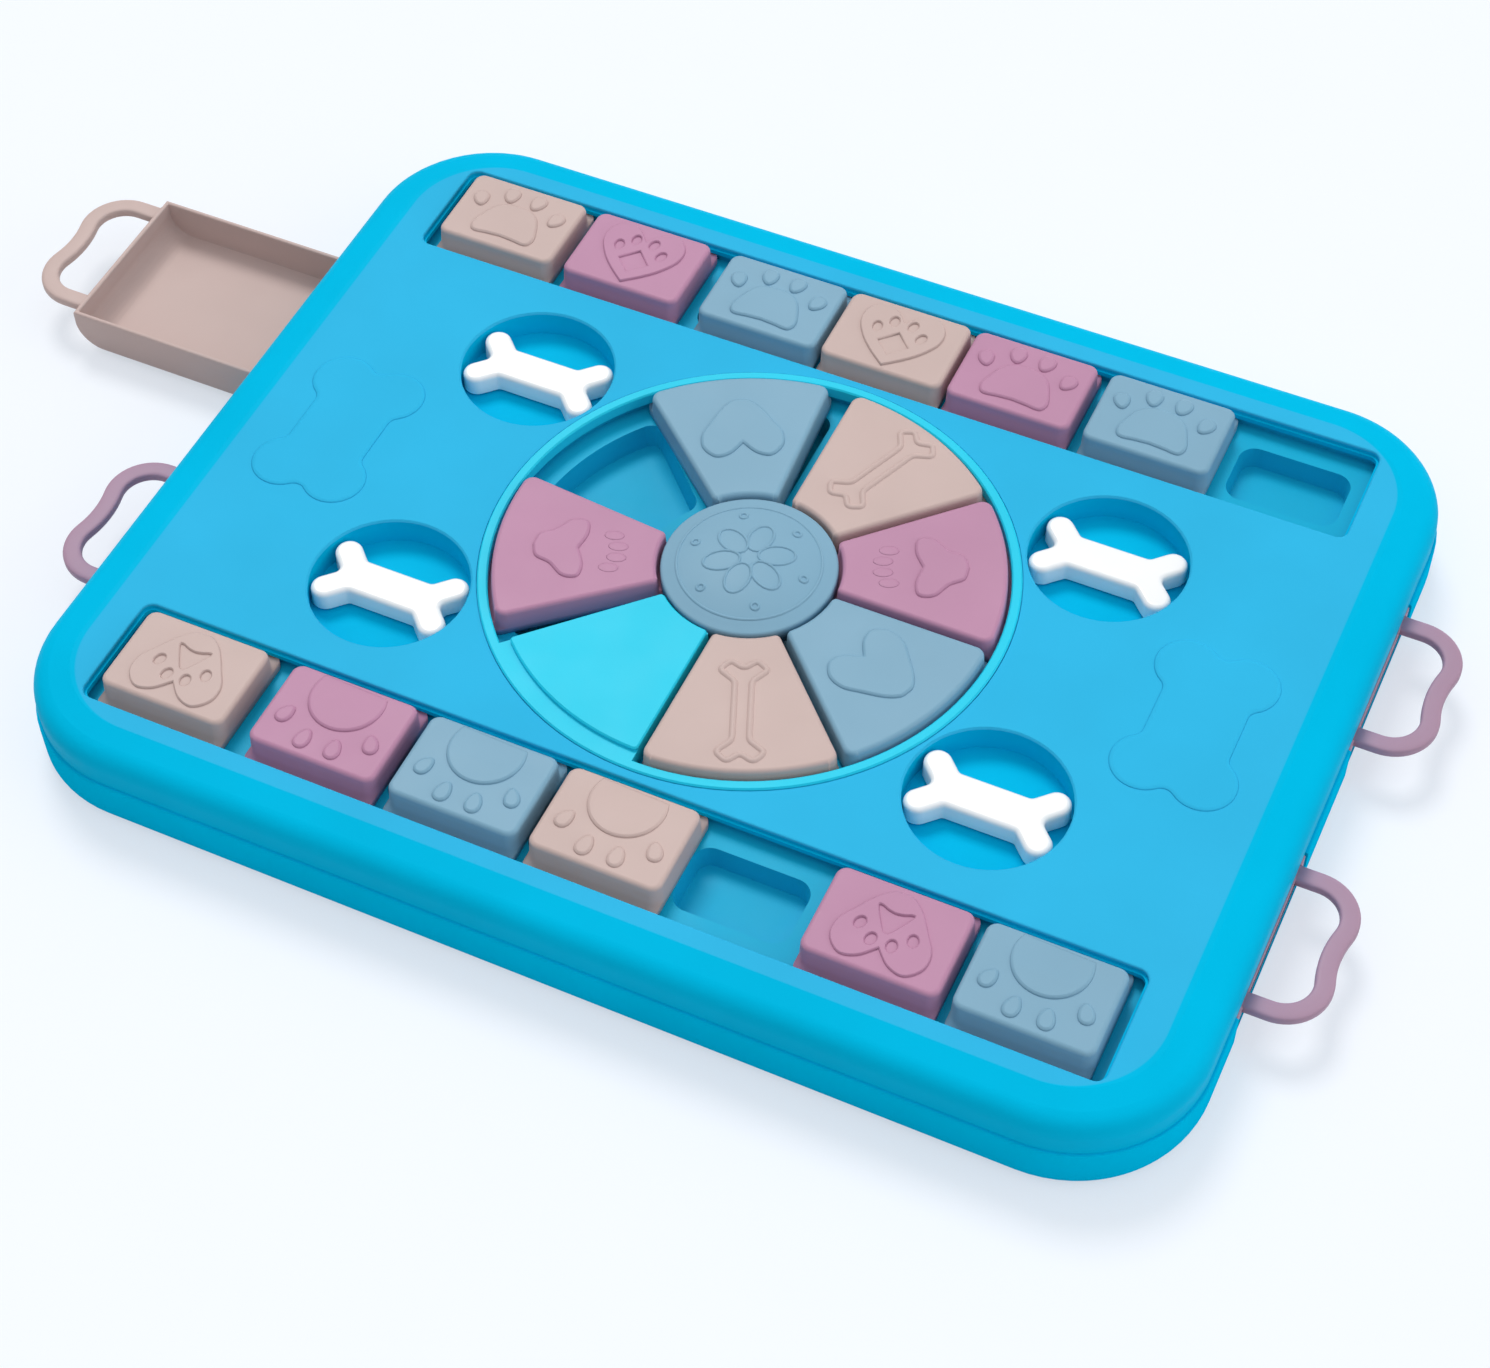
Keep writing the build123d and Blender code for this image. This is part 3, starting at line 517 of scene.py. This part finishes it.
# ---------------------------------------------------------------- sliding blocks
block_skin_thickness = 2.2
block_body_width = 33.6
flange_height = 2.6
block_corner = 4.0
block_edge_round = 1.6
block_draft = 0.35
run_out_start = 1.35       # share of a round pad's rise at the block's middle line, held to 1
run_out_fall = 1.4         # what that share loses from there to the edge behind the pad
run_out_least = 0.05

# how far each row's motifs are turned, and its blocks' motifs from left to right
block_rows = {
    "back": (0, (pad_paw, heart_paw_square, pad_paw, heart_paw_square, pad_paw, pad_paw)),
    "front": (180, (heart_paw_round, round_paw, round_paw, round_paw, heart_paw_round, round_paw)),
}


def rectangle_outline(length, width, radius):
    x, y = length / 2 - radius, width / 2 - radius
    return (corner(x, y, radius, 0, 90) + corner(-x, y, radius, 90, 90)
            + corner(-x, -y, radius, 180, 90) + corner(x, -y, radius, 270, 90))


def moved(rings, x, y):
    return [[p + Vector((x, y, 0)) for p in one] for one in rings]


def make_block(row, number, motif, angle):
    name = f"{row}_block_{number}"
    low, high = (Vector(v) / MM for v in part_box(name))
    middle = (low + high) / 2
    outline = rectangle_outline(high.x - low.x, block_body_width, block_corner)
    overhang = (high.y - low.y - block_body_width) / 2
    rings = [
        ring(outline, block_skin_thickness, high.z - block_skin_thickness),
        ring(outline, block_skin_thickness, low.z),
        ring(outline, 0, low.z, overhang),
        ring(outline, 0, low.z + flange_height, overhang),
        ring(outline, 0, low.z + flange_height),
    ]
    rings += rounded_top(outline, block_draft, high.z - relief_rise, block_edge_round)
    skin = Skin()
    skin.loft(moved(rings, middle.x, middle.y))
    flat_top = high.z - relief_rise
    upright = 1 if angle == 0 else -1

    def run_out(x, y):
        """The round pad sinks into the block's top towards the edge behind it."""
        behind = (middle.y - y) * upright / (block_body_width / 2)
        return min(1.0, max(run_out_least, run_out_start - run_out_fall * behind))

    for outlines in motif():
        shapes = [placed(outline, angle, middle.x, middle.y) for outline in outlines]
        edge = fine_edge if len(shapes) > 1 else relief_edge
        relief(skin, shapes, flat_top, edge=edge, fade=run_out if motif is round_paw else None)
    skin.piece(name + "_skin", slot_of[name], name, name)


for row_name, (row_angle, row_motifs) in block_rows.items():
    for index, row_motif in enumerate(row_motifs, start=1):
        make_block(row_name, index, row_motif, row_angle)


# ---------------------------------------------------------------- wheel wedges
wedge_angles = (22.5, 67.5, 117.0, 197.5, 292.5, 337.5)
sector_half = 22.5
wedge_gap_half = 0.8
wedge_radii = (30.4, 85.5)
wedge_flange_radii = (27.2, 88.0)
wedge_rounds = (2.3, 4.0)  # of the corners at the hub and at the rim
wedge_edge_round = 1.6


def sector_outline(inner, outer, side, heel, rim):
    """Outline about +X whose straight sides keep a set distance from the sector's edges."""
    rim_turn = sector_half - degrees(asin((side + rim) / (outer - rim)))
    heel_turn = sector_half - degrees(asin((side + heel) / (inner + heel)))
    rim_x, rim_y = ((outer - rim) * way(radians(rim_turn)) for way in (cos, sin))
    heel_x, heel_y = ((inner + heel) * way(radians(heel_turn)) for way in (cos, sin))
    side_way = sector_half + 90
    outline = corner(0, 0, outer, -rim_turn, 2 * rim_turn, 16)
    outline += corner(rim_x, rim_y, rim, rim_turn, side_way - rim_turn, 8)
    outline += corner(heel_x, heel_y, heel, side_way, heel_turn + 180 - side_way, 6)
    outline += corner(0, 0, -inner, heel_turn + 180, -2 * heel_turn, 12)
    outline += corner(heel_x, -heel_y, heel, 180 - heel_turn, 180 - side_way + heel_turn, 6)
    outline += corner(rim_x, -rim_y, rim, -side_way, side_way - rim_turn, 8)
    return outline


wedge_heart_middle = 61.0
wedge_paw_middle = 62.5
wedge_bone_middle = 61.0
wedge_bone_line = 2.4
faint_toe_places = ((46.0, 7.0), (44.0, 2.4), (44.0, -2.4), (46.0, -7.0))
faint_toe_size = (3.4, 2.0)
faint_toe_rise = 0.12
faint_toe_edge = 0.9


def wedge_heart():
    """Heart with its rounded point towards the rim."""
    return [[placed(heart_outline(29.0, 26.5, point_sharp=False), 90, wedge_heart_middle, 0)]]


def wedge_paw():
    """Soft three-lobed pad."""
    half = [(0, 10.0), (5.0, 8.4), (7.6, 3.4), (12.4, -1.6), (12.2, -7.0), (6.6, -8.0), (0, -5.6)]
    return [[placed(mirrored(curve(half)), -90, wedge_paw_middle, 0)]]


def turned(rings, angle):
    turn = Matrix.Rotation(radians(angle), 3, "Z")
    return [[turn @ p for p in one] for one in rings]


wedge_motifs = (wedge_paw, None, wedge_heart, wedge_paw, None, wedge_heart)   # None: a bone


def make_wedge(number, angle, motif):
    name = f"wheel_wedge_{number}"
    low, high = (Vector(v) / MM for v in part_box(name))
    body = sector_outline(*wedge_radii, wedge_gap_half, *wedge_rounds)
    flange = sector_outline(*wedge_flange_radii, wedge_gap_half, *wedge_rounds)
    rings = [
        ring(body, block_skin_thickness, high.z - block_skin_thickness),
        ring(body, block_skin_thickness, low.z),
        ring(flange, 0, low.z),
        ring(flange, 0, low.z + flange_height),
        ring(body, 0, low.z + flange_height),
    ]
    rings += rounded_top(body, block_draft, high.z - relief_rise, wedge_edge_round)
    skin = Skin()
    skin.loft(turned(rings, angle))
    flat_top = high.z - relief_rise
    for outlines in motif() if motif else ():
        relief(skin, [placed(outline, angle) for outline in outlines], flat_top)
    if not motif:
        bone = placed(placed(forked_bone(), 0, wedge_bone_middle), angle)
        skin.bead(bone, wedge_bone_line, relief_rise, lambda x, y: flat_top)
    if motif is wedge_paw:
        for toe_x, toe_y in faint_toe_places:
            toe = placed(oval(toe_x, toe_y, *faint_toe_size), angle)
            relief(skin, [toe], flat_top, faint_toe_rise, faint_toe_edge)
    skin.piece(name + "_skin", slot_of[name], name, name)


for index, (wedge_angle, wedge_motif) in enumerate(zip(wedge_angles, wedge_motifs), start=1):
    make_wedge(index, wedge_angle, wedge_motif)


# ---------------------------------------------------------------- hub
hub_edge_height = 36.6
hub_edge_round = 1.2
hub_sides = 96
dome_rings = 16
hub_apex_drop = 0.5        # room for the relief under the frame's own top
hub_line_width = 1.1
hub_line_rise = 0.5
hub_ring_rise = 0.4
hub_ring_radius = 24.2
petal_count = 6
petal_place = 9.2
petal_size = (4.0, 6.2)
dot_place = 19.6
dot_radius = 1.3


def dome_height(apex, radius, edge):
    """Height of the dome over a point."""
    ball = (radius ** 2 + (apex - edge) ** 2) / (2 * (apex - edge))

    def height(x, y):
        return apex - ball + sqrt(max(0.0, ball ** 2 - x ** 2 - y ** 2))
    return height


def make_hub():
    low, high = (Vector(v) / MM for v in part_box("hub_cap"))
    radius = high.x
    surface = dome_height(high.z - hub_apex_drop, radius - hub_edge_round, hub_edge_height)
    circle = corner(0, 0, radius, 0, 360 * (hub_sides - 1) / hub_sides, hub_sides - 1)
    rings = [ring(circle, 0, low.z)]
    rings += rounded_top(circle, 0, hub_edge_height, hub_edge_round)
    for i in range(1, dome_rings):
        inset = hub_edge_round + (radius - hub_edge_round) * i / dome_rings
        rings.append(ring(circle, inset, surface(radius - inset, 0)))
    skin = Skin()
    skin.loft(rings)
    petal = oval(0, petal_place, *petal_size)
    dot = oval(0, dot_place, dot_radius, dot_radius, count=12)
    for i in range(petal_count):
        for shape, turn in ((petal, i), (dot, i + 0.5)):
            line = placed(shape, 360 * turn / petal_count)
            skin.bead(line, hub_line_width, hub_line_rise, surface)
    border = oval(0, 0, hub_ring_radius, hub_ring_radius, count=72)
    skin.bead(border, hub_line_width, hub_ring_rise, surface)
    skin.piece("hub_cap_skin", "grey_blue", "case", "hub_cap")


make_hub()


# ---------------------------------------------------------------- bones
arm_width = 10.0
arm_bearing = 22.5
shaft_width = 14.6
waist_round = 2.0
bone_edge_round = 1.8
bone_side_inset = 0.3
bone_foot = ((1.2, 0.0), (0.5, 0.4), (0.1, 1.2))     # inset and height of each ring at the foot


def bone_outline(length):
    """Bone along X whose ends fork at 45 degrees into two round arms."""
    arm = arm_width / 2
    lean = cos(radians(45))
    tip_x = length / 2 - arm
    tip_y = tip_x * sin(radians(arm_bearing)) / cos(radians(arm_bearing))
    waist_y = shaft_width / 2 + waist_round
    waist_x = tip_x + (waist_y - tip_y) - (arm + waist_round) / lean
    notch_x = tip_x - tip_y + (arm + waist_round) / lean
    quarter = corner(notch_x, 0, -waist_round, 0, -45, 4)
    quarter += corner(tip_x, tip_y, arm, -45, 180, 14)
    quarter += corner(waist_x, waist_y, -waist_round, 135, -45, 5)
    upper = quarter + [(-x, y, -way_x, way_y, r) for x, y, way_x, way_y, r in reversed(quarter)]
    return upper + [(-x, -y, -way_x, -way_y, r) for x, y, way_x, way_y, r in upper[1:-1]]


def make_bone(name):
    low, high = (Vector(v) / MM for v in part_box(name))
    middle = (low + high) / 2
    outline = bone_outline(high.x - low.x)
    rings = [ring(outline, inset, low.z + height) for inset, height in bone_foot]
    rings += rounded_top(outline, bone_side_inset, high.z, bone_edge_round, 7)
    skin = Skin()
    skin.loft(moved(rings, middle.x, middle.y))
    skin.piece(name + "_skin", "white", name, name)


corner_names = ("left_back", "left_front", "right_back", "right_front")
for corner_name in corner_names:
    make_bone(corner_name + "_bone")


# ---------------------------------------------------------------- drawers with loop handles
frame_handle_reach = 26.0  # flat handle of the frame's drawer, which is cut off
handle_reach = 23.6
handle_lobe_round = 16.0
handle_notch_round = 32.0
handle_half_width = 28.5
handle_band = 6.4
handle_thickness = 3.6
handle_root = 1.0          # end of the loop inside the drawer's front wall
handle_fullness = 4.6      # 2 gives an oval section, more a squarer one
cut_offset = 0.02          # the cut lies this far in front of the drawer's front
weld_distance = 0.001


def handle_path():
    """Middle line of the loop, from root to root, with X out of the drawer's front."""
    lobe_x, lobe_y = handle_reach - handle_lobe_round, handle_half_width - handle_lobe_round
    lean = degrees(asin(lobe_y / (handle_lobe_round + handle_notch_round)))
    notch_x = lobe_x + (handle_lobe_round + handle_notch_round) * cos(radians(lean))
    lobe, notch = handle_lobe_round - handle_band / 2, handle_notch_round + handle_band / 2
    stretches = corner(lobe_x, lobe_y, lobe, 90, -90 - lean, 16)
    stretches += corner(notch_x, 0, -notch, -lean, 2 * lean, 8)[1:]
    stretches += corner(lobe_x, -lobe_y, lobe, lean, -90 - lean, 16)[1:]
    path = [(x + way_x * radius, y + way_y * radius) for x, y, way_x, way_y, radius in stretches]
    root_y = handle_half_width - handle_band / 2
    return [(-handle_root, root_y)] + path + [(-handle_root, -root_y)]


def loop_section(steps=20):
    """Rounded section of the loop, across and up."""
    points = []
    for i in range(steps):
        a = 2 * pi * (i + 0.5) / steps
        across = copysign(abs(cos(a)) ** (2 / handle_fullness), cos(a))
        up = copysign(abs(sin(a)) ** (2 / handle_fullness), sin(a))
        points.append((across * handle_band / 2, up * handle_thickness / 2))
    return points


def make_handle(front, middle_y, top, side):
    """The loop of one drawer, in millimetres."""
    path = handle_path()
    middle_z = top - handle_thickness / 2
    rings = []
    for i, (x, y) in enumerate(path):
        before, after = path[max(i - 1, 0)], path[min(i + 1, len(path) - 1)]
        along = Vector((after[0] - before[0], after[1] - before[1])).normalized()
        section = []
        for across, up in loop_section():
            out, over = x - along.y * across, y + along.x * across
            section.append(Vector((front + side * out, middle_y + side * over, middle_z + up)))
        rings.append(section)
    skin = Skin()
    skin.loft(rings)
    return skin


def make_drawer(name):
    """The frame's drawer with its flat handle cut off and a rounded loop in its place."""
    low, high = (Vector(v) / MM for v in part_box(name))
    side = 1 if high.x > 0 else -1
    front = (high.x if side > 0 else low.x) - side * frame_handle_reach
    shape = bmesh.new()
    shape.from_mesh(nodes[name].data)
    bmesh.ops.remove_doubles(shape, verts=shape.verts, dist=weld_distance * MM)
    whole = shape.verts[:] + shape.edges[:] + shape.faces[:]
    plane = ((front + side * cut_offset) * MM, 0, 0)
    cut = bmesh.ops.bisect_plane(shape, geom=whole, plane_co=plane, plane_no=(side, 0, 0),
                                 clear_outer=True)
    edges = [e for e in cut["geom_cut"] if isinstance(e, bmesh.types.BMEdge)]
    bmesh.ops.contextual_create(shape, geom=edges)
    loop = make_handle(front, (low.y + high.y) / 2, high.z, side)
    points = [shape.verts.new(p * MM) for p in loop.points]
    for face in loop.faces:
        shape.faces.new([points[i] for i in face])
    bmesh.ops.recalc_face_normals(shape, faces=shape.faces)
    for face in shape.faces:
        face.smooth = True
    mesh = bpy.data.meshes.new(name + "_skin")
    shape.to_mesh(mesh)
    shape.free()
    mesh.materials.append(finishes[slot_of[name]])
    made = bpy.data.objects.new(name + "_skin", mesh)
    bpy.context.scene.collection.objects.link(made)
    soften(made)
    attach(made, name)
    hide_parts(name)


for corner_name in corner_names:
    make_drawer(corner_name + "_drawer")


# ---------------------------------------------------------------- raised bones on the deck
deck_bone_x = 155.4
deck_bone_rise = 0.45
deck_bone_edge = 1.3


def make_deck_relief():
    skin = Skin()
    bone = lobed_bone(lobe_x=9.9, lobe_y=20.9, lobe_round=11.0, half_shaft=14.5, inner_round=4.0)
    for side in (1, -1):
        outline = placed(bone, 0, side * deck_bone_x)
        relief(skin, [outline], deck_top, deck_bone_rise, deck_bone_edge)
    skin.piece("deck_relief", "deck_cyan", "case")


make_deck_relief()


# ---------------------------------------------------------------- floor and light
floor_reach = 4.0          # metres
floor_glow = 1.2
floor_glow_share = 0.5
floor_glow_tint = (0.86, 0.92, 1.0, 1.0)
studio_tint = (0.95, 0.98, 1.0, 1.0)
horizon_strength = 0.12
zenith_gain = 0.75


def seen(tree):
    """1 for rays from the camera and for rays that show the surroundings in gloss."""
    path = tree.nodes.new("ShaderNodeLightPath")
    mirrored_rays = (path.outputs["Is Glossy Ray"], path.outputs["Is Transmission Ray"])
    gloss = math_node(tree, "MAXIMUM", *mirrored_rays)
    return math_node(tree, "MAXIMUM", path.outputs["Is Camera Ray"], gloss)


def add_floor():
    mesh = bpy.data.meshes.new("floor")
    ends = ((-1, -1), (1, -1), (1, 1), (-1, 1))
    mesh.from_pydata([(x * floor_reach, y * floor_reach, 0) for x, y in ends], [], [(0, 1, 2, 3)])
    material = plastic("floor_white", "E9E9EC", rough=0.9, grain=0.0, cloud=0.004, gloss=0.0)
    tree = material.node_tree
    lit = tree.nodes["Principled BSDF"]
    glow = tree.nodes.new("ShaderNodeEmission")
    glow.inputs["Color"].default_value = floor_glow_tint
    glow.inputs["Strength"].default_value = floor_glow
    pale = tree.nodes.new("ShaderNodeMixShader")
    share = math_node(tree, "MULTIPLY", seen(tree), floor_glow_share)
    tree.links.new(share, pale.inputs["Fac"])
    tree.links.new(lit.outputs["BSDF"], pale.inputs[1])
    tree.links.new(glow.outputs["Emission"], pale.inputs[2])
    tree.links.new(pale.outputs["Shader"], tree.nodes["Material Output"].inputs["Surface"])
    mesh.materials.append(material)
    floor = bpy.data.objects.new("floor", mesh)
    bpy.context.scene.collection.objects.link(floor)


def add_sun(name, way, strength, spread, tint):
    """Lamp that shines from one way all over the scene."""
    data = bpy.data.lights.new(name, "SUN")
    data.energy = strength
    data.angle = radians(spread)
    data.color = tint
    lamp = bpy.data.objects.new(name, data)
    lamp.location = Vector(way)
    lamp.rotation_euler = Vector(way).to_track_quat("Z", "Y").to_euler()
    bpy.context.scene.collection.objects.link(lamp)


def add_world():
    """Studio that is bright overhead and dimmer towards the horizon; white where it is seen."""
    world = bpy.data.worlds.new("studio")
    world.use_nodes = True
    tree = world.node_tree
    light = tree.nodes["Background"]
    light.inputs["Color"].default_value = studio_tint
    place = tree.nodes.new("ShaderNodeTexCoord")
    parts = tree.nodes.new("ShaderNodeSeparateXYZ")
    tree.links.new(place.outputs["Generated"], parts.inputs["Vector"])
    height = math_node(tree, "MAXIMUM", parts.outputs["Z"], 0.0)
    slope = math_node(tree, "MULTIPLY", height, zenith_gain)
    tree.links.new(math_node(tree, "ADD", slope, horizon_strength), light.inputs["Strength"])
    white = tree.nodes.new("ShaderNodeBackground")
    white.inputs["Color"].default_value = (1.0, 1.0, 1.0, 1.0)
    choice = tree.nodes.new("ShaderNodeMixShader")
    tree.links.new(seen(tree), choice.inputs["Fac"])
    tree.links.new(light.outputs["Background"], choice.inputs[1])
    tree.links.new(white.outputs["Background"], choice.inputs[2])
    tree.links.new(choice.outputs["Shader"], tree.nodes["World Output"].inputs["Surface"])
    bpy.context.scene.world = world


add_camera()
add_floor()
add_world()
add_sun("key", way=(-0.344, 0.459, 0.819), strength=1.45, spread=22, tint=(1.0, 0.985, 0.95))
add_sun("side", way=(0.95, 0.1, 0.15), strength=1.1, spread=60, tint=(1.0, 1.0, 1.0))
bpy.context.scene.view_settings.view_transform = "Standard"
